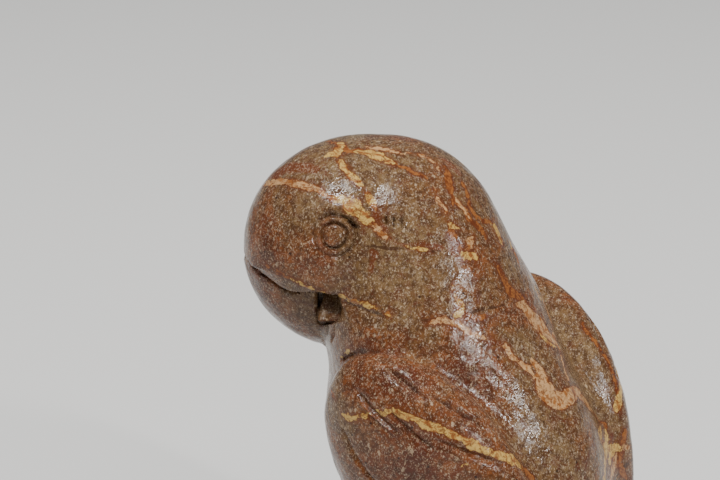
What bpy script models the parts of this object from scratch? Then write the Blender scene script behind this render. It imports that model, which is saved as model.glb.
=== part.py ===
"""Carved stone parrot, one piece with its low oval base.

The bird sits upright with its head turned to its left and its beak bowed on the breast.
Lengths are metres, +Z is up, the bird's front is -Y and its left is +X. The middle of the
base's underside is the origin. The figure's pose and carving are kept as shares of its own
height, in design units, and the base has sizes of its own.
"""
import math

import bmesh
import bpy
import numpy as np
from mathutils import Matrix, Vector

# Driving sizes
FIGURE_HEIGHT = 0.154       # top of the base to the crown of the head
BASE_LENGTH = 0.104         # along the bird, front to tail
BASE_WIDTH = 0.078
BASE_HEIGHT = 0.014
BASE_EDGE = 0.0035          # rounding of the base's top edge
EYE_SIZE = 0.0106           # outer diameter of the carved eye ring
EYE_RELIEF = 0.0005         # depth of the grooves round the eye
STROKE_WIDTH = 0.0018       # feather strokes on the wings
STROKE_DEPTH = 0.0007
TRIANGLES = 7800            # facets of the form before the eyes and the beak's corner are cut

UNIT = FIGURE_HEIGHT / 154.0        # one design unit, 154 of them in the figure's height
VOXEL = 0.8                         # working mesh size in design units

# Pose
BODY_LEAN = 28.0            # body axis from the vertical, in degrees
HEAD_TURN = 35.0            # head to its left, in degrees
BODY_CENTRE = (0.0, -4.8, 66.0)
HEAD_CENTRE = (8.5, -42.3, 121.5)


def lean_rows(degrees):
    """Rows: left, back side, axis towards the head."""
    t = math.radians(degrees)
    return np.array([[1, 0, 0], [0, math.cos(t), math.sin(t)], [0, -math.sin(t), math.cos(t)]])


def head_rows(degrees):
    """Rows: forward along the beak, left, up."""
    t = math.radians(degrees)
    return np.array([[math.sin(t), -math.cos(t), 0], [math.cos(t), math.sin(t), 0], [0, 0, 1.0]])


def spin(axis, degrees):
    return np.array(Matrix.Rotation(math.radians(degrees), 3, Vector(axis)))


BODY = lean_rows(BODY_LEAN)
HEAD = head_rows(HEAD_TURN)


def on_body(left, back, along):
    return np.array(BODY_CENTRE) + BODY.T @ np.array([left, back, along], float)


def on_head(forward, left, up):
    return np.array(HEAD_CENTRE) + HEAD.T @ np.array([forward, left, up], float)


def wing_rows(side, pitch, splay):
    return BODY @ spin(BODY[0], pitch) @ spin(BODY[1], side * splay)


# Masses: centre, radii, frame
SKULL = (on_head(0, 0, 0), (28.8, 25.2, 30.1), HEAD)
CROWN = (on_head(-11.4, -0.7, 4.6), (29.6, 24.8, 26.6), HEAD)
BEAK = (on_head(0.3, -0.6, -0.4), (28.75, 21.4, 29.65), HEAD)
BEAK_TIP = (on_head(5.4, -1.2, -23.3), (5.5, 8.0, 5.2), HEAD)
NECK = (np.array((1.2, -28.1, 120.3)), (24.2, 29.0, 29.4), BODY)
TRUNK = (on_body(0, 1.7, 0), (31.5, 35.5, 49.7), lean_rows(30.0))
BREAST = (on_body(0, -8.2, 6.0), (31.0, 30.5, 37.0), BODY)
MANTLE = (on_body(0, 7.7, 31.7), (36.0, 25.8, 33.1), BODY)
BACK = (on_body(0, 3.8, -7.7), (28.0, 27.0, 40.0), BODY)
RUMP = (on_body(0, 2.0, -42.0), (21.0, 19.0, 36.0), BODY)
TAIL = (np.array((0, 30.0, 22.5)), (14.5, 8.0, 31.0), lean_rows(37.0))
THIGHS = [(np.array((s * 13.0, -9.0, 27.0)), (13.0, 15.0, 19.0), lean_rows(-8.0)) for s in (1, -1)]
ROCK = (np.array((0, -4.0, -4.0)), (27.0, 33.0, 27.0), lean_rows(0.0))
TOES = [(np.array((s * x, -4.0 - 33.0 * math.sqrt(1 - (x / 27.0) ** 2 - (17.0 / 27.0) ** 2), 13.0)),
         (4.4, 5.0, 11.0), lean_rows(-44.0) @ spin((0, 0, 1), s * 1.5 * x)) for s in (1, -1) for x in (7.0, 16.0)]
LOBES = [(on_body(s * 31.1, 8.3, 2.1), (14.4, 26.8, 38.0), wing_rows(s, -3.5, -11.2)) for s in (1, -1)]
BLADES = [(on_body(s * 24.5, 5.6, -20.0), (8.0, 23.0, 42.0), wing_rows(s, -3.5, 5.5)) for s in (1, -1)]
TIPS = [(on_body(s * 18.5, 10.5, -38.0), (8.0, 16.5, 29.0), wing_rows(s, -5.0, 11.0)) for s in (1, -1)]


def ball(P, mass):
    centre, radii, rows = mass
    q = (P - centre) @ rows.T
    r = np.array(radii)
    k0 = np.sqrt(((q / r) ** 2).sum(-1))
    k1 = np.sqrt(((q / r ** 2) ** 2).sum(-1))
    return k0 * (k0 - 1) / np.maximum(k1, 1e-9)


def join(a, b, k):
    h = np.clip(0.5 + 0.5 * (b - a) / k, 0, 1)
    return b * (1 - h) + a * h - k * h * (1 - h)


def cut(a, b, k):
    return -join(-a, -b, k)


def curve_points(points, count=13):
    """Points along a smooth curve through the middle one of three control points."""
    a, m, b = (np.array(p, float) for p in points)
    c = 2 * m - 0.5 * (a + b)
    t = np.linspace(0, 1, count)[:, None]
    return (1 - t) ** 2 * a + 2 * t * (1 - t) * c + t ** 2 * b


def groove(Q, points, width, depth):
    """A spindle-shaped gouge: deepest in the middle, running out at both ends."""
    c = curve_points(points)
    reach = 0.6 * np.linalg.norm(c[-1] - c[0]) + width
    close = np.linalg.norm(Q - c[len(c) // 2], axis=1) < reach
    depths = np.zeros(len(Q))
    depths[close] = gouge(Q[close], c, width, depth)
    return depths


def gouge(Q, c, width, depth):
    near = np.full(len(Q), 1e9)
    share = np.zeros(len(Q))
    for i in range(len(c) - 1):
        e = c[i + 1] - c[i]
        t = np.clip(((Q - c[i]) @ e) / (e @ e), 0, 1)
        d = np.linalg.norm(Q - c[i] - t[:, None] * e, axis=1)
        closer = d < near
        near = np.where(closer, d, near)
        share = np.where(closer, (i + t) / (len(c) - 1), share)
    swell = np.sqrt(np.clip(4 * share * (1 - share), 0, 1))
    return depth * swell * np.clip(1 - (near / (width * (0.35 + 0.65 * swell))) ** 2, 0, 1)


def head_field(P):
    h = (P - np.array(HEAD_CENTRE)) @ HEAD.T
    f, l, u = h[:, 0], np.abs(h[:, 1]), h[:, 2]
    edge = -5.8 + 3.1 * np.clip((f - 8) / 18, 0, 1.2) ** 2
    face = join(ball(P, SKULL), ball(P, CROWN), 8)
    face = cut(face, edge - u, 2.4)
    rear = 7.0 - 4.2 * np.clip((-17.0 - u) / 4.0, 0, 1)
    beak = cut(cut(ball(P, BEAK), rear - f, 1.4), u + 3.0, 1.0)
    beak = join(beak, ball(P, BEAK_TIP), 3)
    return face, beak, f, l, u


def only(P, where, function, *rest):
    """A field worked out only where it can matter, and far away elsewhere."""
    value = np.full(len(P), 50.0)
    value[where] = function(P[where], *rest)
    return value


def body_field(P):
    d = join(ball(P, TRUNK), ball(P, BREAST), 12)
    d = join(d, ball(P, MANTLE), 12)
    d = join(d, ball(P, RUMP), 14)
    d = join(d, ball(P, BACK), 14)
    return join(d, ball(P, NECK), 16)


def wing_field(P):
    both = []
    for lobe, blade, tip in zip(LOBES, BLADES, TIPS):
        w = join(ball(P, lobe), ball(P, blade), 12)
        both.append(join(w, ball(P, tip), 8))
    return np.minimum(*both)


# Feather strokes on the wing, as (left, back, along) from the middle of the body
STROKES = (
    ((41.0, 18.0, 34.6), (41.8, 21.0, 30.6), (41.4, 25.8, 23.8)),
    ((40.0, 26.6, 25.0), (38.1, 30.8, 18.0), (32.6, 34.4, 9.8)),
    ((43.9, 8.3, 34.5), (46.1, 11.3, 26.6), (46.2, 16.2, 18.7)),
    ((45.6, 16.2, 24.6), (45.0, 20.5, 17.0), (42.5, 25.8, 10.5)),
    ((43.6, 24.6, 13.6), (40.0, 30.4, 7.2), (34.0, 34.6, 0.6)),
    ((46.0, -1.4, 20.0), (46.4, 2.0, 7.7), (43.0, 9.0, -12.0)),
)


def carving(P, f, l, u):
    """Incised lines: how far the surface is cut back, in design units."""
    h = np.stack([f, l, u], 1)
    lip = groove(h, ((9.0, 23.6, -5.9), (-1.5, 28.4, -6.6), (-11.2, 35.9, -7.4)), 1.6, 0.9)
    nostril = 1.6 * np.clip(1 - (np.linalg.norm((h - np.array([25.6, 10.9, -3.3])) /
                                                np.array([1.9, 2.2, 1.2]), axis=1)) ** 2, 0, 1)
    q = (P - np.array(BODY_CENTRE)) @ BODY.T
    q[:, 0] = np.abs(q[:, 0])
    lines = np.zeros(len(P))
    for stroke in STROKES:
        lines = np.maximum(lines, groove(q, stroke, STROKE_WIDTH / UNIT, STROKE_DEPTH / UNIT))
    return lip + nostril + lines


def base_field(P):
    half_w = 0.5 * BASE_WIDTH / UNIT
    half_l = 0.5 * BASE_LENGTH / UNIT
    side = (np.sqrt((P[:, 0] / half_w) ** 2 + (P[:, 1] / half_l) ** 2) - 1) * min(half_w, half_l)
    return cut(side, P[:, 2], 2.0 * BASE_EDGE / UNIT)


def field(P, carve=True):
    """Signed distance to the whole carving in design units, from the top of the base."""
    face, beak, f, l, u = head_field(P)
    low = P[:, 2] < 60
    body = join(body_field(P), only(P, low, ball, TAIL), 9)
    for thigh in THIGHS:
        body = join(body, only(P, low, ball, thigh), 9)
    behind = np.clip((-1.0 - f) / 16.0, 0, 1)
    soft = 1.6 + 6.5 * behind * behind * (3 - 2 * behind)
    d = join(face, body, soft)
    d = join(d, beak, 0.9)
    along = (P - np.array(BODY_CENTRE)) @ BODY[2]
    d = join(d, wing_field(P), 2.0 + 6.0 * np.clip((22 - along) / 45, 0, 1))
    ground = join(only(P, low, ball, ROCK), base_field(P), 7)
    d = join(d, ground, 5)
    for toe in TOES:
        d = join(d, only(P, low, ball, toe), 2.0)
    if carve:
        d = d + carving(P, f, l, u)
    return d


def mass_mesh(bm, mass, cuts=()):
    """An ellipsoid from an icosphere, with whole sides cut off by planes."""
    centre, radii, rows = mass
    new = bmesh.ops.create_icosphere(bm, subdivisions=4, radius=1.0)["verts"]
    turn = Matrix([list(map(float, r)) for r in rows]).transposed().to_4x4()
    place = Matrix.Translation(Vector([float(c) for c in centre])) @ turn @ Matrix.Diagonal((*radii, 1.0))
    bmesh.ops.transform(bm, matrix=place, verts=new)
    for point, normal in cuts:
        geom = new + list({e for v in new for e in v.link_edges}) + list({f for v in new for f in v.link_faces})
        out = bmesh.ops.bisect_plane(bm, geom=geom, dist=1e-6, plane_co=Vector([float(c) for c in point]),
                                     plane_no=Vector([float(c) for c in normal]), clear_outer=True)
        rim = [g for g in out["geom_cut"] if isinstance(g, bmesh.types.BMEdge)]
        bmesh.ops.edgeloop_fill(bm, edges=rim)
        kept = {v for v in new if v.is_valid}
        kept |= {v for e in rim if e.is_valid for v in e.verts}
        new = list(kept)


def rough_masses():
    bm = bmesh.new()
    down = -HEAD[2]
    mass_mesh(bm, SKULL, cuts=[(on_head(0, 0, -5.5), down)])
    mass_mesh(bm, CROWN, cuts=[(on_head(0, 0, -5.5), down)])
    mass_mesh(bm, BEAK, cuts=[(on_head(7.0, 0, 0), -HEAD[0]), (on_head(0, 0, -2.0), HEAD[2])])
    for mass in (BEAK_TIP, NECK, TRUNK, BREAST, MANTLE, BACK, RUMP, TAIL, ROCK, *THIGHS, *TOES,
                 *LOBES, *BLADES, *TIPS):
        mass_mesh(bm, mass)
    disc = bmesh.ops.create_cone(bm, cap_ends=True, segments=96, radius1=1, radius2=1, depth=1)["verts"]
    deep = BASE_HEIGHT / UNIT + 8.0
    size = Matrix.Diagonal((0.5 * BASE_WIDTH / UNIT, 0.5 * BASE_LENGTH / UNIT, deep, 1.0))
    bmesh.ops.transform(bm, matrix=Matrix.Translation((0, 0, -0.5 * deep)) @ size, verts=disc)
    mesh = bpy.data.meshes.new("masses")
    bm.to_mesh(mesh)
    bm.free()
    return mesh


def placed(rows, centre):
    """Matrix from a local frame, given as rows, to the model in metres."""
    turn = Matrix([list(map(float, r)) for r in rows]).transposed().to_4x4()
    lift = Matrix.Translation((0, 0, BASE_HEIGHT))
    return lift @ Matrix.Scale(UNIT, 4) @ Matrix.Translation(Vector([float(c) for c in centre])) @ turn


def head_block(name, low, high, slope, rake, round_off):
    """A bevelled block in the head's frame: its underside follows `slope` with the distance
    to the side, and its front face leans by `rake`."""
    bm = bmesh.new()
    corners = bmesh.ops.create_cube(bm, size=1.0)["verts"]
    for v in corners:
        f, l, u = (low[i] + (v.co[i] + 0.5) * (high[i] - low[i]) for i in range(3))
        if v.co.z < 0:
            u += slope * (abs(l) - 20.0)
            f += rake * (v.co.x > 0)
        v.co = (f, l, u)
    bmesh.ops.bevel(bm, geom=list(bm.edges) + list(bm.verts), offset=round_off, segments=3, profile=0.5,
                    affect="EDGES", clamp_overlap=True)
    bmesh.ops.transform(bm, matrix=placed(HEAD, HEAD_CENTRE), verts=bm.verts)
    bmesh.ops.recalc_face_normals(bm, faces=bm.faces)
    mesh = bpy.data.meshes.new(name)
    bm.to_mesh(mesh)
    bm.free()
    return bpy.data.objects.new(name, mesh)


def eye_frame(side):
    """Centre and rows of an eye: two directions along the face and its outward normal."""
    p = on_head(2.7, side * 24.6, 11.6)
    for _ in range(6):
        value = field(p[None], False)[0]
        slope = np.array([field((p + e)[None], False)[0] - value for e in 0.05 * np.eye(3)]) / 0.05
        p = p - value * slope / (slope @ slope)
    out = slope / np.linalg.norm(slope)
    up = np.array([0, 0, 1.0]) - out[2] * out
    up /= np.linalg.norm(up)
    return p, np.array([np.cross(up, out), up, out])


def eye_ring(name, side, radius, thick, sink):
    centre, rows = eye_frame(side)
    bpy.ops.mesh.primitive_torus_add(major_segments=30, minor_segments=6, major_radius=radius,
                                     minor_radius=thick, location=(0, 0, 0))
    ring = bpy.context.active_object
    ring.name = name
    ring.data.transform(placed(rows, centre - sink * rows[2]))
    return ring


def eye_ball(name, side, radius, height, sink):
    centre, rows = eye_frame(side)
    bpy.ops.mesh.primitive_uv_sphere_add(segments=24, ring_count=8, radius=1.0, location=(0, 0, 0))
    pupil = bpy.context.active_object
    pupil.name = name
    pupil.data.transform(placed(rows, centre - sink * rows[2]) @ Matrix.Diagonal((radius, radius, height, 1)))
    return pupil


def with_modifier(obj, kind, **settings):
    """Apply one modifier and return the object with its new mesh."""
    mod = obj.modifiers.new(kind.lower(), kind)
    for key, value in settings.items():
        setattr(mod, key, value)
    bpy.context.view_layer.update()
    done = bpy.data.meshes.new_from_object(obj.evaluated_get(bpy.context.evaluated_depsgraph_get()))
    obj.modifiers.clear()
    old = obj.data
    obj.data = done
    bpy.data.meshes.remove(old)
    return obj


def coordinates(mesh):
    co = np.empty(len(mesh.vertices) * 3)
    mesh.vertices.foreach_get("co", co)
    return co.reshape(-1, 3)


def settle(mesh, rounds, carve, limit=1.2):
    """Move the vertices along the field's slope on to its zero surface."""
    everything = coordinates(mesh)
    above = everything[:, 2] > -BASE_HEIGHT / UNIT - 4.0
    P = everything[above]
    for _ in range(rounds):
        value = field(P, carve)
        slope = np.empty_like(P)
        for axis in range(3):
            step = np.zeros(3)
            step[axis] = 0.05
            slope[:, axis] = (field(P + step, carve) - value) / 0.05
        size2 = np.maximum((slope ** 2).sum(1), 0.25)
        move = -(value / size2)[:, None] * slope
        length = np.linalg.norm(move, axis=1)
        P = P + move * np.minimum(1, limit / np.maximum(length, 1e-9))[:, None]
    everything[above] = P
    mesh.vertices.foreach_set("co", everything.ravel())
    mesh.update()


def relax(mesh, times):
    bm = bmesh.new()
    bm.from_mesh(mesh)
    for _ in range(times):
        bmesh.ops.smooth_vert(bm, verts=bm.verts, factor=0.5, use_axis_x=True, use_axis_y=True, use_axis_z=True)
    bm.to_mesh(mesh)
    bm.free()


def flat_underside(mesh):
    """Cut the base off level, close it with one flat face and go over to metres."""
    bm = bmesh.new()
    bm.from_mesh(mesh)
    floor = -BASE_HEIGHT / UNIT
    geom = list(bm.verts) + list(bm.edges) + list(bm.faces)
    out = bmesh.ops.bisect_plane(bm, geom=geom, dist=1e-5, plane_co=(0, 0, floor),
                                 plane_no=(0, 0, -1), clear_outer=True)
    rim = [g for g in out["geom_cut"] if isinstance(g, bmesh.types.BMEdge)]
    for v in {v for e in rim for v in e.verts}:
        v.co.z = floor
    bmesh.ops.edgeloop_fill(bm, edges=rim)
    bmesh.ops.transform(bm, matrix=Matrix.Diagonal((UNIT, UNIT, UNIT, 1.0)) @
                        Matrix.Translation((0, 0, -floor)), verts=bm.verts)
    bmesh.ops.dissolve_degenerate(bm, dist=0.00002, edges=bm.edges)
    bmesh.ops.triangulate(bm, faces=bm.faces, quad_method="BEAUTY", ngon_method="BEAUTY")
    bmesh.ops.delete(bm, geom=[e for e in bm.edges if not e.link_faces], context="EDGES")
    bmesh.ops.delete(bm, geom=[v for v in bm.verts if not v.link_faces], context="VERTS")
    bmesh.ops.recalc_face_normals(bm, faces=bm.faces)
    bm.to_mesh(mesh)
    bm.free()
    mesh.update()


def keep_detail(obj):
    """A vertex group that keeps the mesh fine along the face's lower edge."""
    P = coordinates(obj.data)
    h = (P - np.array(HEAD_CENTRE)) @ HEAD.T
    f, l, u = h[:, 0], np.abs(h[:, 1]), h[:, 2]
    lip = (f > -12) & (f < 28) & (l > 8) & (u > -8.5) & (u < -1.5)
    group = obj.vertex_groups.new(name="detail")
    group.add([int(i) for i in np.nonzero(lip)[0]], 0.4, "REPLACE")
    return group.name


def triangulated(mesh):
    bm = bmesh.new()
    bm.from_mesh(mesh)
    bmesh.ops.dissolve_degenerate(bm, dist=0.00002, edges=bm.edges)
    bmesh.ops.triangulate(bm, faces=bm.faces, quad_method="BEAUTY", ngon_method="BEAUTY")
    bmesh.ops.delete(bm, geom=[e for e in bm.edges if not e.link_faces], context="EDGES")
    bm.to_mesh(mesh)
    bm.free()
    mesh.update()


def stone():
    mat = bpy.data.materials.new("polished_veined_stone")
    mat.use_nodes = True
    shader = mat.node_tree.nodes["Principled BSDF"]
    shader.inputs["Base Color"].default_value = (0.195, 0.085, 0.045, 1.0)
    shader.inputs["Roughness"].default_value = 0.22
    shader.inputs["IOR"].default_value = 1.56
    mat.diffuse_color = (0.195, 0.085, 0.045, 1.0)
    return mat


def main():
    for obj in list(bpy.data.objects):
        bpy.data.objects.remove(obj, do_unlink=True)
    scene = bpy.context.scene
    part = bpy.data.collections.new("stone_parrot_sculpture")
    cutters = bpy.data.collections.new("cutters")
    scene.collection.children.link(part)
    scene.collection.children.link(cutters)

    carving_obj = bpy.data.objects.new("parrot_carving", rough_masses())
    part.objects.link(carving_obj)
    with_modifier(carving_obj, "REMESH", mode="VOXEL", voxel_size=VOXEL)
    mesh = carving_obj.data
    settle(mesh, 5, False)
    relax(mesh, 3)
    settle(mesh, 2, False)
    relax(mesh, 2)
    settle(mesh, 4, True)
    triangles = sum(len(p.vertices) - 2 for p in mesh.polygons)
    with_modifier(carving_obj, "DECIMATE", decimate_type="COLLAPSE", ratio=TRIANGLES / triangles,
                  use_collapse_triangulate=True, vertex_group=keep_detail(carving_obj),
                  invert_vertex_group=True, vertex_group_factor=3.0)
    carving_obj.vertex_groups.clear()
    flat_underside(carving_obj.data)

    ring = 0.5 * EYE_SIZE / UNIT
    groove_size = 0.11 * ring
    tools = []
    for side, word in ((1, "left"), (-1, "right")):
        low, high = sorted((side * 16.0, side * 42.0))
        tools.append(("DIFFERENCE", head_block(f"beak_corner_{word}", (-1.0, low, -16.2), (7.2, high, -5.6),
                                               0.38, 0.0, 1.2)))
        for part_of, share in (("outer", 1.09), ("inner", 0.68)):
            drop = (share * ring) ** 2 / 52.0 - groove_size + EYE_RELIEF / UNIT
            tools.append(("DIFFERENCE", eye_ring(f"eye_{part_of}_{word}", side, share * ring, groove_size, drop)))
        tools.append(("UNION", eye_ball(f"eye_ball_{word}", side, 0.57 * ring, 0.2 * ring, 0.12 * ring)))
    tools.append(("UNION", head_block("lower_beak", (-3.0, -19.6, -14.9), (5.2, 19.6, -4.0), 0.0, 1.2, 0.9)))
    for operation, tool in tools:
        for owner in list(tool.users_collection):
            owner.objects.unlink(tool)
        cutters.objects.link(tool)
        tool.hide_render = True
        tool.display_type = "WIRE"
        with_modifier(carving_obj, "BOOLEAN", operation=operation, solver="EXACT", object=tool)
        tool.hide_set(True)
    triangulated(carving_obj.data)
    carving_obj.data.name = "parrot_carving"
    carving_obj.data.materials.clear()
    carving_obj.data.materials.append(stone())


main()
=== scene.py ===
"""Polished veined marble parrot on its low oval base.

The bird is one carved piece. This file makes its fine surface (the solid's form, with the
cut eyes, the lip of the face, the corner of the beak and the feather strokes), the marble and
the stage. Lengths are metres, the bird's front is -Y and its left wing is on +X.
"""
import math

import bmesh
import bpy
import numpy as np
from mathutils import Matrix, Vector


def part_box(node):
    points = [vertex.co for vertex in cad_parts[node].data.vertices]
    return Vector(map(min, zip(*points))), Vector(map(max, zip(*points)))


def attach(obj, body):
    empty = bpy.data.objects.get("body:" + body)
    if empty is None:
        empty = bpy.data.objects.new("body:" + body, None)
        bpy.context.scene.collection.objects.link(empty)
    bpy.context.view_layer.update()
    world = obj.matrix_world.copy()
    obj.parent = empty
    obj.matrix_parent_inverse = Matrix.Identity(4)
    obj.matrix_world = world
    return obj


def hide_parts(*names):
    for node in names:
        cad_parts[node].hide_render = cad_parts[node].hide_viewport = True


bl_info = {
    "name": "Marble parrot carving",
    "version": (1, 0, 0),
    "blender": (4, 5, 0),
    "location": "View3D > Sidebar > Parrot",
    "description": "A polished marble parrot with cut eyes, beak and feather strokes",
    "category": "Add Mesh",
}

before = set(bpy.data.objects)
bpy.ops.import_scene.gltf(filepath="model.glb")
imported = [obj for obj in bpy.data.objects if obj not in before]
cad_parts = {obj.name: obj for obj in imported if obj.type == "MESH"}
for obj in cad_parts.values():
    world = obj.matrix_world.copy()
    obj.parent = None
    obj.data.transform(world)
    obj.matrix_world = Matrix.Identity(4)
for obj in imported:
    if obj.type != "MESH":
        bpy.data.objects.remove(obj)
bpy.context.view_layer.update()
NODE = "parrot_carving"

# The base, in metres
BASE_WIDTH, BASE_LENGTH, BASE_HEIGHT = 0.078, 0.104, 0.014
BASE_ROUNDING = 0.0035

# The figure, in design units of about a millimetre, from the middle of the base's top
FIGURE_HEIGHT = 153.7
UNIT = (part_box(NODE)[1][2] - BASE_HEIGHT) / FIGURE_HEIGHT
BASE_TOP = BASE_HEIGHT / UNIT
UNDERSIDE_TO_TOP = np.array((0, 0, BASE_TOP))
BODY_CENTRE = (0.0, -4.8, 66.0)
HEAD_CENTRE = (8.5, -42.3, 121.5)


def lean_rows(degrees):
    """Rows: left, back side, axis towards the head."""
    t = math.radians(degrees)
    return np.array([[1, 0, 0], [0, math.cos(t), math.sin(t)], [0, -math.sin(t), math.cos(t)]])


def head_rows(degrees):
    """Rows: forward along the beak, left, up."""
    t = math.radians(degrees)
    return np.array([[math.sin(t), -math.cos(t), 0], [math.cos(t), math.sin(t), 0], [0, 0, 1.0]])


def spin(axis, degrees):
    return np.array(Matrix.Rotation(math.radians(degrees), 3, Vector(axis)))


BODY = lean_rows(28.0)
HEAD = head_rows(35.0)


def on_body(left, back, along):
    return np.array(BODY_CENTRE) + BODY.T @ np.array([left, back, along], float)


def on_head(forward, left, up):
    return np.array(HEAD_CENTRE) + HEAD.T @ np.array([forward, left, up], float)


def wing_rows(side, pitch, splay):
    return BODY @ spin(BODY[0], pitch) @ spin(BODY[1], side * splay)


# Masses: centre, radii, frame
SKULL = (on_head(0, 0, 0), (28.8, 25.2, 30.1), HEAD)
CROWN = (on_head(-11.4, -0.7, 4.6), (29.6, 24.8, 26.6), HEAD)
BEAK = (on_head(0.3, -0.6, -0.4), (28.75, 21.4, 29.65), HEAD)
BEAK_TIP = (on_head(5.4, -1.2, -23.3), (5.5, 8.0, 5.2), HEAD)
NECK = (np.array((1.2, -28.1, 120.3)), (24.2, 29.0, 29.4), BODY)
TRUNK = (on_body(0, 1.7, 0), (31.5, 35.5, 49.7), lean_rows(30.0))
BREAST = (on_body(0, -8.2, 6.0), (31.0, 30.5, 37.0), BODY)
MANTLE = (on_body(0, 7.7, 31.7), (36.0, 25.8, 33.1), BODY)
BACK = (on_body(0, 3.8, -7.7), (28.0, 27.0, 40.0), BODY)
RUMP = (on_body(0, 2.0, -42.0), (21.0, 19.0, 36.0), BODY)
TAIL = (np.array((0, 30.0, 22.5)), (14.5, 8.0, 31.0), lean_rows(37.0))
THIGHS = [(np.array((s * 13.0, -9.0, 27.0)), (13.0, 15.0, 19.0), lean_rows(-8.0)) for s in (1, -1)]
ROCK = (np.array((0, -4.0, -4.0)), (27.0, 33.0, 27.0), lean_rows(0.0))
TOES = [(np.array((s * x, -4.0 - 33.0 * math.sqrt(1 - (x / 27.0) ** 2 - (17.0 / 27.0) ** 2), 13.0)),
         (4.4, 5.0, 11.0), lean_rows(-44.0) @ spin((0, 0, 1), s * 1.5 * x)) for s in (1, -1) for x in (7.0, 16.0)]
LOBES = [(on_body(s * 31.1, 8.3, 2.1), (14.4, 26.8, 38.0), wing_rows(s, -3.5, -11.2)) for s in (1, -1)]
BLADES = [(on_body(s * 24.5, 5.6, -20.0), (8.0, 23.0, 42.0), wing_rows(s, -3.5, 5.5)) for s in (1, -1)]
TIPS = [(on_body(s * 18.5, 10.5, -38.0), (8.0, 16.5, 29.0), wing_rows(s, -5.0, 11.0)) for s in (1, -1)]

# Gouged feather strokes on the wings: points as (|left|, back, along) from the middle of the body,
# then half width and depth. The last three run down the lower wing.
STROKES = (
    (((41.1, 17.0, 35.2), (41.2, 20.6, 30.6), (41.4, 26.0, 23.5)), 1.15, 0.75),
    (((40.2, 26.3, 24.8), (36.9, 31.0, 17.0), (31.3, 34.8, 8.2)), 1.25, 0.80),
    (((44.5, 7.6, 32.6), (45.7, 11.6, 25.4), (46.1, 16.6, 18.4)), 1.10, 0.75),
    (((45.3, 16.6, 24.2), (44.7, 20.0, 17.0), (43.6, 24.1, 10.8)), 0.95, 0.60),
    (((42.9, 25.1, 13.2), (38.6, 30.9, 6.2), (32.6, 35.3, 0.1)), 1.10, 0.70),
    (((46.1, -0.9, 23.6), (46.1, -0.6, 14.8), (45.4, 3.4, 5.0)), 1.05, 0.65),
    (((46.2, 7.0, 28.0), (46.7, 11.0, 23.4), (46.4, 15.8, 16.2)), 0.70, 0.30),
    (((45.0, 5.5, 3.0), (40.0, 12.5, -17.0), (31.0, 18.0, -37.0)), 1.20, 0.65),
    (((43.5, 17.0, 4.0), (38.5, 21.5, -15.0), (29.0, 24.0, -36.0)), 1.20, 0.65),
    (((38.5, 28.5, -2.0), (33.5, 29.5, -17.0), (25.0, 27.5, -36.0)), 1.10, 0.60),
)
# The crisp edge where the wing meets the shoulder, and a fine ridge mark on the mantle
WING_EDGE = ((31.4, -5.5, 38.6), (33.6, -0.1, 39.7), (35.5, 7.1, 39.8), (35.6, 12.5, 38.8), (33.9, 17.3, 36.4),
             (30.7, 23.0, 30.1), (25.7, 26.5, 21.6), (22.6, 29.0, 13.4))
MANTLE_MARK = ((18.8, 30.9, 23.8), (17.3, 31.8, 20.7), (14.8, 33.6, 12.1))
TAIL_LINES = (((0.0, 34.0, -42.0), (0.0, 30.0, -56.0), (0.0, 27.0, -68.0)),
              ((6.5, 33.0, -42.0), (6.0, 29.0, -56.0), (5.5, 26.5, -67.0)))

# Marks on the head as (forward, |left|, up): the eye's middle, the ticks behind it, the notch in its corner,
# the crease at the beak's corner, the cut near the beak's tip and the line back from the face's edge
EYE = (2.7, 24.1, 11.6)
TICKS = (((-11.4, 23.8, 17.3), (-11.45, 24.3, 16.1), (-11.5, 24.9, 15.0)),
         ((-13.4, 24.3, 17.1), (-13.5, 24.9, 15.8), (-13.5, 25.5, 14.5)),
         ((-15.8, 24.5, 17.2), (-15.7, 25.3, 15.5), (-15.6, 26.1, 13.9)))
EYE_CORNER = ((-0.9, 23.2, 15.9), (-2.6, 23.9, 14.6), (-4.4, 24.2, 13.7))
BEAK_CREASE = ((3.0, 24.6, -14.6), (3.0, 23.4, -17.4), (3.4, 21.0, -20.4))
NOSTRIL = ((26.2, 7.8, -1.6), (25.6, 9.1, -2.2), (24.6, 10.6, -2.6))
CHEEK_LINE = ((9.0, 23.6, -5.9), (-1.5, 28.4, -6.6), (-11.2, 35.9, -7.4))
# The same as lines: control points, points along the curve, half width, depth
HEAD_LINES = (*((tick, 9, 0.62, 1.05) for tick in TICKS), (EYE_CORNER, 13, 1.05, 1.7), (NOSTRIL, 13, 0.75, 1.0),
              (CHEEK_LINE, 21, 1.1, 0.85), (BEAK_CREASE, 13, 0.6, 0.7))

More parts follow.
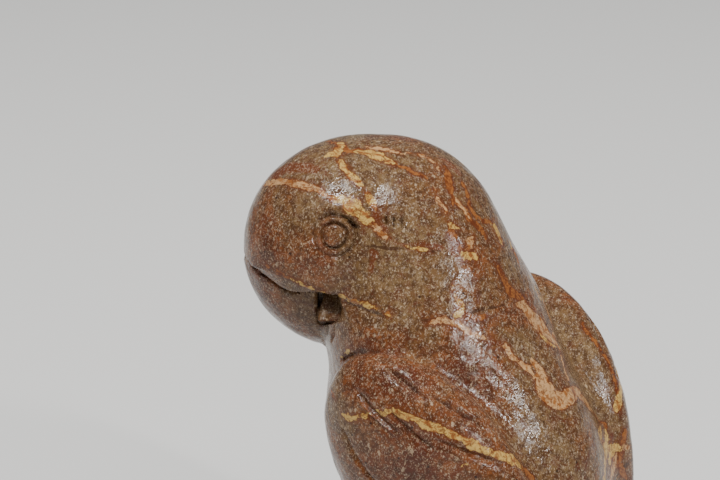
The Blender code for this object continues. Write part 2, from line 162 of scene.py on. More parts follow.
# Veins, two of them partly a painted highlight along the face's lower edge: colour, then points in millimetres from
# the origin, each with the half width there
VEINS_AND_PAINTED_HIGHLIGHT = (
    ("cream", ((26, -34, 156, 0.5), (25, -31, 156, 1.1), (25, -28, 155, 1.6), (24, -26, 153, 1.1),
     (24, -23, 151, 0.7))),
    ("cream", ((18, -42, 165, 0.6), (16, -40, 165, 1.4), (13, -40, 166, 0.8), (11, -42, 167, 0.4))),
    ("cream", ((13, -35, 166, 0.4), (12, -32, 166, 0.8), (11, -29, 166, 1.2), (11, -27, 165, 1.0),
     (11, -24, 164, 0.4))),
    ("cream", ((18, -37, 164, 0.4), (19, -35, 163, 0.6), (20, -32, 162, 0.7), (20, -29, 160, 0.5),
     (20, -28, 159, 0.3))),
    ("cream", ((21, -26, 158, 0.3), (21, -25, 157, 0.4), (21, -23, 155, 0.6), (22, -22, 154, 0.3))),
    ("cream", ((-3, -1, 147, 0.4), (-5, 0, 146, 0.6), (-5, 1, 143, 0.8), (-5, 2, 142, 0.6))),
    ("cream", ((11, -6, 151, 0.3), (11, -5, 150, 0.6), (10, -4, 149, 0.4), (9, -3, 149, 0.3))),
    ("cream", ((12, -1, 143, 0.5), (11, 0, 142, 0.9), (9, 1, 142, 0.8), (8, 2, 141, 0.4))),
    ("cream", ((17, 0, 136, 0.2), (18, 0, 135, 0.3), (18, 1, 133, 0.4), (18, 3, 131, 0.7),
     (18, 3, 130, 0.8), (19, 3, 129, 0.7), (20, 3, 129, 0.3))),
    ("cream", ((-19, 29, 86, 0.5), (-18, 31, 84, 0.9), (-15, 32, 82, 0.9), (-10, 34, 80, 0.9),
     (-7, 36, 78, 0.9))),
    ("cream", ((-4, 15, 118, 0.3), (-6, 17, 115, 0.4), (-9, 18, 113, 0.3))),
    ("cream", ((46, -17, 104, 0.4), (46, -13, 104, 0.6), (47, -10, 106, 0.4), (46, -7, 107, 0.5),
     (46, -4, 108, 0.5), (45, -1, 109, 0.7), (45, 4, 109, 0.7), (44, 7, 108, 0.8), (43, 10, 107, 0.9),
     (42, 13, 106, 0.8), (40, 17, 104, 0.8), (38, 20, 102, 0.8), (34, 24, 99, 0.7), (30, 26, 97, 1.0),
     (26, 27, 94, 0.8))),
    ("cream", ((38, 20, 102, 0.4), (39, 19, 100, 0.4), (40, 19, 98, 0.4), (41, 18, 97, 0.4))),
    ("cream", ((32, -27, 113, 0.4), (33, -24, 115, 0.5), (34, -23, 117, 0.3))),
    # This orange vein and the front of the cream vein after it run along the ridge at the top of the face's lower
    # edge: there they are partly a pale vein and partly a painted highlight on that ridge.
    ("orange", ((33, -52, 136, 0.1), (34, -47, 135, 0.2), (34, -42, 134, 0.2))),
    ("cream", ((34, -42, 134, 0.1), (34, -38, 132, 0.3), (32, -34, 131, 0.4), (30, -31, 130, 0.4),
     (30, -27, 130, 0.4), (31, -22, 130, 0.4), (31, -18, 130, 0.3), (31, -14, 130, 0.3),
     (31, -11, 129, 0.3))),
    ("cream", ((22, -13, 146, 0.2), (21, -11, 145, 0.4), (20, -9, 145, 0.4), (19, -7, 145, 0.3))),
    ("peach", ((22, -61, 154, 0.6), (25, -54, 157, 0.8), (26, -50, 158, 0.7), (26, -45, 158, 0.8),
     (26, -40, 158, 0.7), (26, -37, 157, 0.5), (26, -34, 156, 0.5))),
    ("peach", ((24, -24, 152, 0.5), (24, -21, 150, 0.5), (24, -18, 148, 0.5))),
    ("peach", ((8, -14, 161, 0.4), (8, -13, 160, 0.4), (9, -11, 158, 0.5), (10, -10, 156, 0.5),
     (10, -8, 154, 0.4), (10, -7, 153, 0.3))),
    ("peach", ((10, -33, 167, 0.4), (8, -29, 167, 0.6), (7, -24, 166, 0.3), (4, -22, 166, 0.3),
     (3, -20, 165, 0.4), (2, -18, 164, 0.4), (2, -16, 163, 0.5), (3, -14, 162, 0.4))),
    ("peach", ((5, -8, 156, 0.3), (5, -6, 154, 0.4), (5, -4, 152, 0.3), (4, -2, 150, 0.3))),
    ("peach", ((11, 0, 143, 0.3), (9, 0, 144, 0.4), (8, -1, 146, 0.4), (6, -1, 146, 0.4))),
    ("peach", ((27, -2, 127, 0.2), (24, 0, 128, 0.3), (23, 1, 128, 0.5), (22, 2, 127, 0.6),
     (20, 4, 126, 0.6), (19, 6, 124, 0.6), (17, 8, 123, 0.5), (16, 9, 122, 0.2))),
    ("peach", ((13, 12, 120, 0.4), (11, 13, 119, 0.8), (11, 14, 118, 0.7), (11, 15, 116, 0.3),
     (9, 17, 114, 0.4), (8, 18, 113, 0.5), (7, 19, 111, 0.4), (7, 20, 110, 0.5))),
    ("peach", ((5, 18, 114, 0.4), (4, 19, 112, 0.7), (4, 20, 110, 1.5), (5, 22, 108, 2.2),
     (5, 22, 107, 2.5), (5, 23, 105, 2.3), (4, 25, 104, 1.6))),
    ("peach", ((5, 24, 104, 1.8), (2, 26, 103, 1.9), (-3, 26, 102, 1.5), (-8, 25, 102, 1.1),
     (-10, 26, 100, 1.3), (-13, 27, 96, 1.1), (-16, 27, 93, 0.4))),
    ("peach", ((0, 10, 127, 0.5), (-3, 11, 126, 0.9), (-4, 12, 123, 1.8), (-5, 13, 121, 2.3),
     (-7, 14, 118, 2.3), (-8, 15, 117, 1.9), (-9, 16, 115, 1.2), (-11, 17, 113, 0.5))),
    ("orange", ((11, -24, 165, 0.3), (11, -22, 164, 0.3), (10, -20, 163, 0.3), (10, -18, 162, 0.3),
     (9, -16, 162, 0.3), (8, -14, 161, 0.4))),
    ("orange", ((0, -14, 162, 0.6), (2, -12, 160, 1.0), (4, -10, 159, 1.0), (5, -9, 157, 0.7),
     (6, -7, 155, 0.5), (5, -6, 154, 0.4), (5, -5, 152, 0.4), (5, -3, 150, 0.5), (4, -2, 149, 0.4),
     (2, 0, 147, 0.5), (2, 1, 145, 0.4))),
    ("orange", ((5, -10, 158, 0.4), (6, -8, 156, 0.3), (7, -7, 155, 0.3), (8, -6, 153, 0.3))),
    ("orange", ((-1, -9, 158, 0.4), (0, -7, 156, 0.4), (2, -5, 153, 0.3), (2, -3, 151, 0.4),
     (0, -2, 149, 0.4), (-4, -1, 147, 0.6))),
    ("orange", ((11, -5, 149, 0.7), (12, -4, 147, 0.9), (12, -3, 146, 0.6), (12, -1, 144, 0.5))),
    ("orange", ((2, 5, 137, 0.7), (1, 7, 134, 1.0), (1, 8, 131, 1.1), (-1, 9, 129, 1.1),
     (-4, 10, 126, 0.6))),
    ("orange", ((22, 2, 127, 0.4), (19, 4, 127, 0.7), (17, 5, 128, 0.5), (16, 6, 127, 0.4),
     (13, 8, 127, 0.3))),
    ("orange", ((-16, 27, 93, 0.3), (-18, 28, 89, 0.4), (-20, 29, 87, 0.6), (-19, 30, 86, 0.6))),
    ("orange", ((-22, 30, 86, 0.3), (-20, 31, 83, 0.4), (-18, 32, 79, 0.5), (-20, 33, 77, 0.9),
     (-22, 35, 73, 0.9), (-23, 35, 71, 0.6))),
    ("orange", ((-32, 14, 112, 0.3), (-31, 15, 110, 0.4), (-31, 17, 108, 0.4), (-31, 20, 106, 0.4),
     (-31, 22, 103, 0.5), (-31, 24, 100, 0.4), (-30, 26, 97, 0.4), (-29, 28, 94, 0.4), (-27, 30, 89, 0.3))),
    ("orange", ((27, 27, 95, 0.7), (23, 27, 90, 0.8), (21, 29, 88, 0.7))),
    ("orange", ((40, -25, 108, 0.3), (43, -22, 108, 0.4), (44, -20, 107, 0.3))),
    ("rust", ((24, -18, 148, 0.2), (23, -16, 147, 0.1), (22, -14, 146, 0.3), (21, -11, 146, 0.3),
     (19, -8, 146, 0.3), (16, -5, 145, 0.2))),
    ("crack", ((28, -4, 128, 0.2), (25, -1, 128, 0.3), (23, 1, 128, 0.3), (18, 4, 128, 0.3),
     (14, 6, 129, 0.3), (11, 8, 129, 0.2), (4, 9, 128, 0.2))),
    ("rust", ((16, 9, 122, 0.3), (15, 10, 121, 0.3), (12, 12, 120, 0.3))),
    ("rust", ((41, 18, 97, 0.3), (42, 17, 95, 0.5), (43, 15, 94, 0.5))),
    ("crack", ((27, -25, 145, 0.1), (27, -23, 145, 0.1), (26, -22, 145, 0.2), (25, -20, 145, 0.2),
     (25, -17, 145, 0.2), (23, -14, 145, 0.2), (21, -11, 145, 0.2), (18, -7, 144, 0.2),
     (15, -4, 144, 0.2))),
    ("rust", ((21, -57, 158, 0.8), (21, -54, 160, 1.3), (22, -49, 161, 1.4), (22, -45, 162, 1.2),
     (22, -42, 162, 0.8))),
    ("rust", ((22, -22, 153, 0.5), (23, -21, 151, 0.9), (23, -20, 150, 0.9), (23, -18, 149, 0.5))),
    ("rust", ((-3, -16, 163, 0.8), (-3, -14, 162, 1.1), (-3, -12, 160, 0.7))),
    ("rust", ((13, -3, 146, 0.7), (13, -2, 144, 1.1), (13, -1, 142, 0.8))),
    ("rust", ((26, -21, 144, 0.3), (26, -20, 143, 0.5), (27, -20, 140, 0.5), (28, -20, 139, 0.3))),
    ("orange", ((8, -50, 165, 0.3), (10, -46, 166, 0.4), (13, -40, 167, 0.6), (14, -37, 166, 0.6),
     (12, -34, 166, 0.6))),
    ("rust", ((19, -61, 155, 0.5), (21, -59, 156, 0.7), (23, -54, 158, 0.8))),
)
# Clouds in the ground, two of them partly painted shade on the beak and one partly painted sheen on the right wing:
# tone, middle in millimetres, radius
CLOUDS_AND_PAINTED_LIGHT = (
    # The olive cloud at (-30, 16, 106), on the right wing, is partly the stone's olive-grey and partly painted sheen
    # that greys that wing.
    ("olive", (19, -32, 163), 15), ("olive", (24, -16, 152), 11), ("olive", (-30, 16, 106), 16),
    ("olive", (2, -6, 154), 8), ("olive", (6, 18, 120), 9), ("olive", (10, 30, 96), 10),
    ("rust", (33, -52, 143), 13), ("rust", (36, -8, 118), 14), ("rust", (46, 0, 92), 16),
    # The rust clouds at (32, -62, 128) and (22, -46, 116), on the beak and under it, are partly the stone's red-brown
    # and partly painted shade: they darken the beak, which lies in shade below the face.
    ("rust", (25, 12, 112), 11), ("rust", (32, -62, 128), 17), ("rust", (22, -46, 116), 12),
)


def clamp(x):
    """A value kept from 0 to 1."""
    return np.clip(x, 0, 1)


def lengths(vectors):
    return np.linalg.norm(vectors, axis=1)


def ball(P, mass):
    centre, radii, rows = mass
    q = (P - centre) @ rows.T
    r = np.array(radii)
    k0 = np.sqrt(((q / r) ** 2).sum(-1))
    k1 = np.sqrt(((q / r ** 2) ** 2).sum(-1))
    return k0 * (k0 - 1) / np.maximum(k1, 1e-9)


def join(a, b, k):
    h = clamp(0.5 + 0.5 * (b - a) / k)
    return b * (1 - h) + a * h - k * h * (1 - h)


def cut(a, b, k):
    return -join(-a, -b, k)


def only(P, where, function, *rest):
    """A field worked out only where it can matter, and far away elsewhere."""
    value = np.full(len(P), 50.0)
    value[where] = function(P[where], *rest)
    return value


def along_line(Q, points):
    """Distance to a line through points, and the share of its length at the nearest place."""
    c = np.array(points, float)
    near = np.full(len(Q), 1e9)
    share = np.zeros(len(Q))
    for i in range(len(c) - 1):
        e = c[i + 1] - c[i]
        t = clamp(((Q - c[i]) @ e) / (e @ e))
        d = lengths(Q - c[i] - t[:, None] * e)
        closer = d < near
        near = np.where(closer, d, near)
        share = np.where(closer, (i + t) / (len(c) - 1), share)
    return near, share


def close_to(P, c, margin):
    """Which points lie in the ball that holds a curve and a margin round it."""
    middle = c.mean(0)
    return lengths(P - middle) < lengths(c - middle).max() + margin


def curve_points(points, count):
    """Points along a smooth curve through the middle one of three control points."""
    a, m, b = (np.array(p, float) for p in points)
    c = 2 * m - 0.5 * (a + b)
    t = np.linspace(0, 1, count)[:, None]
    return (1 - t) ** 2 * a + 2 * t * (1 - t) * c + t ** 2 * b


def slope_at(P):
    """The plain field and its slope at points."""
    reach = 0.04
    value = field(P)
    slope = np.empty_like(P)
    for axis in range(3):
        step = np.zeros(3)
        step[axis] = reach
        slope[:, axis] = (field(P + step) - value) / reach
    return value, slope


def move_to_surface(P):
    """The move along the slope that brings each point on to the plain surface, or nearly."""
    value, slope = slope_at(P)
    return -(value / np.maximum((slope ** 2).sum(1), 0.25))[:, None] * slope


def onto_surface(P):
    for _ in range(7):
        P = P + move_to_surface(P)
    return P


def face_edge(f):
    """Height of the face's lower edge over the beak, in the head's frame."""
    return -5.8 + 3.1 * np.clip((f - 8) / 18, 0, 1.2) ** 2 - 1.7 * np.exp(-((f - 16.0) / 5.5) ** 2)


def lip_bevel(f, l, u):
    """How far the band along the face's lower edge is cut back: widest below the nostril."""
    low = face_edge(f)
    high = np.interp(f, (-2.0, 0.9, 6.1, 9.1, 13.0, 16.3, 21.7, 24.6, 27.0),
                     (-5.7, -5.7, -4.5, -3.9, -2.7, -1.4, -1.1, -1.7, -2.4))
    band = clamp((high - u) / np.maximum(high - low, 0.3))
    return 1.9 * band * clamp((f - 1) / 6) * clamp((26.5 - f) / 3) * clamp((l - 4) / 4)


def head_places(P):
    """Forward, |left| and up in the head's frame."""
    h = (P - np.array(HEAD_CENTRE)) @ HEAD.T
    h[:, 1] = np.abs(h[:, 1])
    return h


def head_field(P):
    f, l, u = head_places(P).T
    face = join(ball(P, SKULL), ball(P, CROWN), 8) + lip_bevel(f, l, u)
    face = cut(face, face_edge(f) - u, 1.2)
    rear = 7.0 - 4.2 * clamp((-17.0 - u) / 4.0)
    beak = cut(cut(ball(P, BEAK), rear - f, 1.4), u + 3.0, 1.0)
    beak = join(beak, ball(P, BEAK_TIP), 3)
    return face, beak, f


def body_field(P):
    d = join(ball(P, TRUNK), ball(P, BREAST), 12)
    d = join(d, ball(P, MANTLE), 12)
    d = join(d, ball(P, RUMP), 14)
    d = join(d, ball(P, BACK), 14)
    return join(d, ball(P, NECK), 16)


def wing_field(P):
    both = []
    for lobe, blade, tip in zip(LOBES, BLADES, TIPS):
        w = join(ball(P, lobe), ball(P, blade), 12)
        both.append(join(w, ball(P, tip), 8))
    return np.minimum(*both)


def tool_lines(cuts):
    """Every gouged line as a curve on the surface, with half width, depth and the way it runs out."""
    wide, deep = cuts.stroke_width / 0.0018, cuts.stroke_depth / 0.0007
    lines = []
    for s in (1, -1):
        for points, width, depth in STROKES:
            lines.append((on_body, s, curve_points(points, 21), width * wide, depth * deep, "spindle"))
        lines.append((on_body, s, np.array(WING_EDGE), 0.70 * wide, 0.80 * deep, "fading"))
        lines.append((on_body, s, curve_points(MANTLE_MARK, 13), 0.50, 0.10, "spindle"))
        for points, count, width, depth in HEAD_LINES:
            lines.append((on_head, s, curve_points(points, count), width, depth, "spindle"))
    for points in TAIL_LINES:
        for s in (1, -1) if points[0][0] else (1,):
            lines.append((on_body, s, curve_points(points, 21), 1.1, 0.6, "spindle"))
    laid = []
    for place, s, points, width, depth, taper in lines:
        points = points.copy()
        points[:, 0 if place is on_body else 1] *= s
        laid.append((onto_surface(np.array([place(*p) for p in points])), width, depth, taper))
    return laid


def gouged(P, lines):
    """V-shaped cuts along the lines: the depth at each point."""
    depths = np.zeros(len(P))
    for c, width, depth, taper in lines:
        close = close_to(P, c, width)
        near, share = along_line(P[close], c)
        swell = np.sqrt(clamp(4 * share * (1 - share)))
        if taper == "fading":
            swell = clamp(share / 0.05) * (1 - share) ** 0.7
        reach = width * (0.4 + 0.6 * swell)
        shape = clamp(1.06 - np.sqrt((near / reach) ** 2 + 0.0036))
        depths[close] = np.maximum(depths[close], depth * swell * shape)
    return depths


def eye_depth(h, cuts):
    """A low hatched boss in a groove, inside a raised ring that comes to a corner at the back."""
    ring = 0.5 * cuts.eye_size / UNIT
    relief = cuts.eye_relief / UNIT
    off = h - np.array(EYE)
    angle = np.arctan2(off[:, 2], -off[:, 0])
    r = lengths(off) / ring / (1 + 0.07 * clamp(np.cos(angle - 0.25)) ** 6)
    inner = np.interp(r, (0.0, 0.40, 0.54, 0.62, 0.68, 0.78, 0.86), (-0.5, -0.1, 0.35, 2.2, 2.0, 0.2, 0.0))
    outer = np.interp(r, (0.86, 0.96, 1.06, 1.12, 1.22, 1.36), (0.0, 0.40, 2.1, 2.1, 0.40, 0.0))
    cut_back = inner + outer * (0.95 + 0.40 * np.cos(angle - 0.9))
    lines = np.sin(2 * np.pi * (0.62 * off[:, 0] + 0.78 * off[:, 2]) / 0.85)
    hatch = 0.09 * clamp(lines) * clamp((0.5 - r) / 0.1)
    return relief * cut_back + hatch


def lip_line(h):
    """Depth of the dark line cut in under the face's lower edge."""
    f, l, u = h.T
    line = clamp(1.1 - np.abs(u - face_edge(f) + 0.1) / 0.60) * clamp((l - 5) / 3)
    return 1.4 * line * clamp((f - 8) / 4) * clamp((26.5 - f) / 3)


def hand_polish(P):
    """Slow unevenness of a surface ground by hand, in design units."""
    waves = np.zeros(len(P))
    for k, (direction, length) in enumerate((((1, 0.4, 0.2), 13.0), ((-0.3, 1, 0.5), 10.0),
                                             ((0.2, -0.5, 1), 15.0), ((0.8, 0.7, -0.6), 7.5),
                                             ((-0.6, 0.3, 0.9), 6.0))):
        axis = np.array(direction) / np.linalg.norm(direction)
        waves += (0.35 + length / 15.0) * np.sin(2 * np.pi * (P @ axis) / length + 1.7 * k)
    return 0.032 * (waves + 5.0)


def base_field(P):
    across, along = 0.5 * BASE_WIDTH / UNIT, 0.5 * BASE_LENGTH / UNIT
    side = (np.sqrt((P[:, 0] / across) ** 2 + (P[:, 1] / along) ** 2) - 1) * min(across, along)
    return cut(side, P[:, 2], 2.0 * BASE_ROUNDING / UNIT)


def field(P):
    """Signed distance to the whole carving in design units, from the top of the base."""
    face, beak, f = head_field(P)
    low = P[:, 2] < 60
    body = join(body_field(P), only(P, low, ball, TAIL), 9)
    for thigh in THIGHS:
        body = join(body, only(P, low, ball, thigh), 9)
    behind = clamp((-1.0 - f) / 16.0)
    soft = 1.6 + 6.5 * behind * behind * (3 - 2 * behind)
    d = join(face, body, soft)
    d = join(d, beak, 0.9)
    along = (P - np.array(BODY_CENTRE)) @ BODY[2]
    d = join(d, wing_field(P), 2.0 + 6.0 * clamp((22 - along) / 45))
    ground = join(only(P, low, ball, ROCK), base_field(P), 7)
    d = join(d, ground, 5)
    for toe in TOES:
        d = join(d, only(P, low, ball, toe), 2.0)
    return d


# Mesh tools

def turning(rows):
    """The rotation out of a frame, whose axes are given as rows."""
    return Matrix([list(map(float, r)) for r in rows]).transposed().to_4x4()


def fill_hole(bm, bisected):
    """Close the hole that a cut by a plane left, and give its rim."""
    rim = [g for g in bisected["geom_cut"] if isinstance(g, bmesh.types.BMEdge)]
    bmesh.ops.edgeloop_fill(bm, edges=rim)
    return rim


def mesh_from(bm, name):
    mesh = bpy.data.meshes.new(name)
    bm.to_mesh(mesh)
    bm.free()
    return mesh


def each_once(things):
    """Each thing once, in the order in which they came, so that every run gives the same mesh."""
    return list(dict.fromkeys(things))


def mass_mesh(bm, mass, cuts=()):
    """An ellipsoid from an icosphere, with whole sides cut off by planes."""
    centre, radii, rows = mass
    new = bmesh.ops.create_icosphere(bm, subdivisions=4, radius=1.0)["verts"]
    place = Matrix.Translation(Vector([float(c) for c in centre])) @ turning(rows) @ Matrix.Diagonal((*radii, 1.0))
    bmesh.ops.transform(bm, matrix=place, verts=new)
    for point, normal in cuts:
        geom = new + each_once(e for v in new for e in v.link_edges) + each_once(f for v in new for f in v.link_faces)
        out = bmesh.ops.bisect_plane(bm, geom=geom, dist=1e-6, plane_co=Vector([float(c) for c in point]),
                                     plane_no=Vector([float(c) for c in normal]), clear_outer=True)
        rim = fill_hole(bm, out)
        new = each_once([v for v in new if v.is_valid] + [v for e in rim if e.is_valid for v in e.verts])


def rough_masses():
    """All masses as plain ellipsoids in each other, with a disc that is deeper than the base."""
    bm = bmesh.new()
    down = -HEAD[2]
    mass_mesh(bm, SKULL, cuts=[(on_head(0, 0, -6.5), down)])
    mass_mesh(bm, CROWN, cuts=[(on_head(0, 0, -6.5), down)])
    mass_mesh(bm, BEAK, cuts=[(on_head(7.0, 0, 0), -HEAD[0]), (on_head(0, 0, -2.0), HEAD[2])])
    for mass in (BEAK_TIP, NECK, TRUNK, BREAST, MANTLE, BACK, RUMP, TAIL, ROCK, *THIGHS, *TOES,
                 *LOBES, *BLADES, *TIPS):
        mass_mesh(bm, mass)
    disc = bmesh.ops.create_cone(bm, cap_ends=True, segments=96, radius1=1, radius2=1, depth=1)["verts"]
    deep = BASE_TOP + 8.0
    size = Matrix.Diagonal((0.5 * BASE_WIDTH / UNIT, 0.5 * BASE_LENGTH / UNIT, deep, 1.0))
    bmesh.ops.transform(bm, matrix=Matrix.Translation((0, 0, -0.5 * deep)) @ size, verts=disc)
    return mesh_from(bm, "masses")


def in_head(bm, name):
    """A mesh given in the head's frame as an object in the figure's frame."""
    bmesh.ops.transform(bm, matrix=Matrix.Translation(Vector(HEAD_CENTRE)) @ turning(HEAD), verts=bm.verts)
    bmesh.ops.recalc_face_normals(bm, faces=bm.faces)
    return bpy.data.objects.new(name, mesh_from(bm, name))


def beak_corner(side):
    """The tool that opens the beak's corner: half an oval that narrows inwards, flat at the front."""
    bm = bmesh.new()
    bmesh.ops.create_cone(bm, cap_ends=True, segments=72, radius1=1.0, radius2=1.0, depth=1.0)
    inner, outer = 15.4, 33.0
    for v in bm.verts:
        l = inner if v.co.z > 0 else outer
        f = 6.95 - (4.9 + 0.215 * (l - inner)) * max(v.co.x, 0.0)
        u = -10.4 + 6.3 * v.co.y + 0.38 * (l - 20.0) * max(-v.co.y, 0.0)
        v.co = (f, side * l, min(u, -5.9))
    bmesh.ops.remove_doubles(bm, verts=bm.verts, dist=0.01)
    bmesh.ops.dissolve_degenerate(bm, dist=0.01, edges=bm.edges)
    bmesh.ops.triangulate(bm, faces=bm.faces)
    return in_head(bm, "beak_corner")


def lower_beak():
    """The lower beak: a rounded wedge that stands out most along its lower edge."""
    bm = bmesh.new()
    for v in bmesh.ops.create_cube(bm, size=2.0)["verts"]:
        front, left, top = (c > 0 for c in v.co)
        forward = (4.4 if top else 7.4) if front else 0.0
        sideways = (16.0 if top else 22.6) if left else -(16.0 if top else 20.6)
        v.co = (forward, sideways, -5.0 if top else -14.2)
    bmesh.ops.bevel(bm, geom=list(bm.edges) + list(bm.verts), offset=0.8, segments=5, profile=0.5,
                    affect="EDGES", clamp_overlap=True)
    return in_head(bm, "lower_beak")


LEAST_FACES = 10000


def with_modifier(obj, kind, **settings):
    """Apply one modifier to an object's mesh."""
    mod = obj.modifiers.new(kind.lower(), kind)
    for key, value in settings.items():
        setattr(mod, key, value)
    bpy.context.view_layer.update()
    done = bpy.data.meshes.new_from_object(obj.evaluated_get(bpy.context.evaluated_depsgraph_get()))
    obj.modifiers.clear()
    old = obj.data
    obj.data = done
    bpy.data.meshes.remove(old)


def coordinates(mesh):
    co = np.empty(len(mesh.vertices) * 3)
    mesh.vertices.foreach_get("co", co)
    return co.reshape(-1, 3)


def settle(mesh, rounds, band=None):
    """Move the vertices, or only those within the band, on to the field's zero surface."""
    longest = 1.2
    everything = coordinates(mesh)
    moving = everything[:, 2] > -BASE_TOP - 4.0
    if band:
        moving[moving] = np.abs(field(everything[moving])) < band
    P = everything[moving]
    for _ in range(rounds):
        move = move_to_surface(P)
        length = lengths(move)
        P = P + move * np.minimum(1, longest / np.maximum(length, 1e-9))[:, None]
    everything[moving] = P
    mesh.vertices.foreach_set("co", everything.ravel())
    mesh.update()


def relax(mesh, times):
    bm = bmesh.new()
    bm.from_mesh(mesh)
    for _ in range(times):
        bmesh.ops.smooth_vert(bm, verts=bm.verts, factor=0.5, use_axis_x=True, use_axis_y=True, use_axis_z=True)
    bm.to_mesh(mesh)
    bm.free()


def fineness(P, cuts, lines, veins):
    """How many times the mesh is halved at each point: most at the eyes, nostrils and ticks."""
    h = head_places(P)
    level = np.zeros(len(P))
    for c, width, depth, taper in lines:
        close = close_to(P, c, width + 1.0)
        near = along_line(P[close], c)[0]
        wanted = np.where(near < width + 0.25, 3 if width < 0.96 and taper == "spindle" else 2, 0)
        level[close] = np.maximum(level[close], wanted)
    low = face_edge(h[:, 0])
    lip = (h[:, 2] > low - 1.0) & (h[:, 2] < low + 3.5) & (h[:, 0] > 3) & (h[:, 1] > 3) & (h[:, 0] < 27)
    level = np.where(lip, np.maximum(level, 2), level)
    level = np.where(lip & (h[:, 2] < low + 1.2), 3, level)
    eye = lengths(h - np.array(EYE)) < 0.64 * cuts.eye_size / UNIT
    level = np.where(eye, 3, level)
    for _, points in veins:
        level = np.where(vein_distance(P, points) < 0.3, np.maximum(level, 1), level)
    return level


def finer(mesh, cuts, lines, veins):
    """Halve the mesh where it has to be finer."""
    bm = bmesh.new()
    bm.from_mesh(mesh)
    for depth in (1, 2, 3):
        bm.verts.index_update()
        wanted = fineness(np.array([v.co[:] for v in bm.verts]), cuts, lines, veins) >= depth
        edges = [e for e in bm.edges if wanted[e.verts[0].index] and wanted[e.verts[1].index]]
        bmesh.ops.subdivide_edges(bm, edges=edges, cuts=1, use_grid_fill=True)
    bmesh.ops.triangulate(bm, faces=[f for f in bm.faces if len(f.verts) > 4])
    bm.to_mesh(mesh)
    bm.free()
    mesh.update()


def carve(mesh, cuts, lines):
    """Cut the eyes, the gouged lines and the line under the face into the smooth surface."""
    everything = coordinates(mesh)
    moving = everything[:, 2] > -BASE_TOP + 1.0
    moving[moving] = np.abs(field(everything[moving])) < 0.3
    P = everything[moving]
    slope = slope_at(P)[1]
    slope /= np.maximum(lengths(slope), 1e-6)[:, None]
    h = head_places(P)
    depth = gouged(P, lines) + eye_depth(h, cuts) + hand_polish(P)
    sideways = slope * (1, 1, 0)
    sideways /= np.maximum(lengths(sideways), 1e-6)[:, None]
    everything[moving] = P - depth[:, None] * slope - lip_line(h)[:, None] * sideways
    mesh.vertices.foreach_set("co", everything.ravel())
    mesh.update()


def flat_underside(mesh):
    """Cut the base off level, close it with one flat face and go over to metres."""
    bm = bmesh.new()
    bm.from_mesh(mesh)
    geom = list(bm.verts) + list(bm.edges) + list(bm.faces)
    fill_hole(bm, bmesh.ops.bisect_plane(bm, geom=geom, dist=1e-5, plane_co=(0, 0, -BASE_TOP),
                                         plane_no=(0, 0, -1), clear_outer=True))
    bmesh.ops.transform(bm, matrix=Matrix.Diagonal((UNIT, UNIT, UNIT, 1.0)) @
                        Matrix.Translation((0, 0, BASE_TOP)), verts=bm.verts)
    for v in bm.verts:
        v.co.z = max(v.co.z, 0.0)
    bm.to_mesh(mesh)
    bm.free()
    mesh.update()


FAR = 9.0


def vein_distance(P, points):
    """Distance to a vein's edge in design units, below nought inside it and no more than FAR."""
    close = close_to(P, points[:, :3], FAR)
    distance = np.full(len(P), FAR)
    near, share = along_line(P[close], points[:, :3])
    width = np.interp(share * (len(points) - 1), np.arange(len(points)), points[:, 3])
    distance[close] = np.minimum(near - width, FAR)
    return distance


def laid_veins(cuts):
    """The veins on the surface, and copies of some of them for the far side and the lower body."""
    veins = []
    for k, (colour, points) in enumerate(VEINS_AND_PAINTED_HIGHLIGHT):
        c = np.array(points, float)
        c[:, :3] = c[:, :3] * 0.001 / UNIT - UNDERSIDE_TO_TOP
        c[:, 3] *= cuts.vein_width
        c[:, :3] = onto_surface(c[:, :3])
        veins.append((colour, c))
        if c[:, 0].mean() > 8 and k % 3 != 1:
            other = c.copy()
            other[:, :3] = c[:, :3] * (-1, 1, 1) + (0, 5 + 3 * math.sin(k), -8 - 4 * math.cos(2 * k))
            other[:, :3] = onto_surface(other[:, :3])
            veins.append((colour, other))
            lower = c.copy()
            lower[:, :3] = (c[:, :3] - (0, 0, 95)) * (-0.9, -1.1, 0.7) + (4 * math.sin(3 * k), -6, 32)
            lower[:, :3] = onto_surface(lower[:, :3])
            veins.append((colour, lower))
    return veins


def store_colours(mesh, veins):
    """Distance to the nearest vein of each colour, and how much of each cloud there is, per point."""
    P = coordinates(mesh) / UNIT - UNDERSIDE_TO_TOP
    layers = {}
    for colour, points in veins:
        near = vein_distance(P, points)
        layers["vein_" + colour] = np.minimum(layers.get("vein_" + colour, FAR), near)
    for tone, middle, radius in CLOUDS_AND_PAINTED_LIGHT:
        q = lengths(P - np.array(middle) + UNDERSIDE_TO_TOP) / radius
        layers["cloud_" + tone] = np.maximum(layers.get("cloud_" + tone, 0.0), np.exp(-q * q))
    for name, values in layers.items():
        mesh.attributes.new(name, "FLOAT", "POINT").data.foreach_set("value", values.astype(np.float32))


# Marble

def linear(hex_colour):
    """An sRGB hex colour as linear RGBA."""
    parts = [int(hex_colour[i:i + 2], 16) / 255 for i in (1, 3, 5)]
    return (*[c / 12.92 if c <= 0.04045 else ((c + 0.055) / 1.055) ** 2.4 for c in parts], 1.0)


def node(tree, kind, links=None, values=None, **settings):
    """Add a shader node: what its sockets are linked to or their plain values, and its settings."""
    n = tree.nodes.new("ShaderNode" + kind)
    for key, value in settings.items():
        setattr(n, key, value)
    for key, value in (values or {}).items():
        n.inputs[key].default_value = value
    for key, source in (links or {}).items():
        tree.links.new(source, n.inputs[key])
    return n


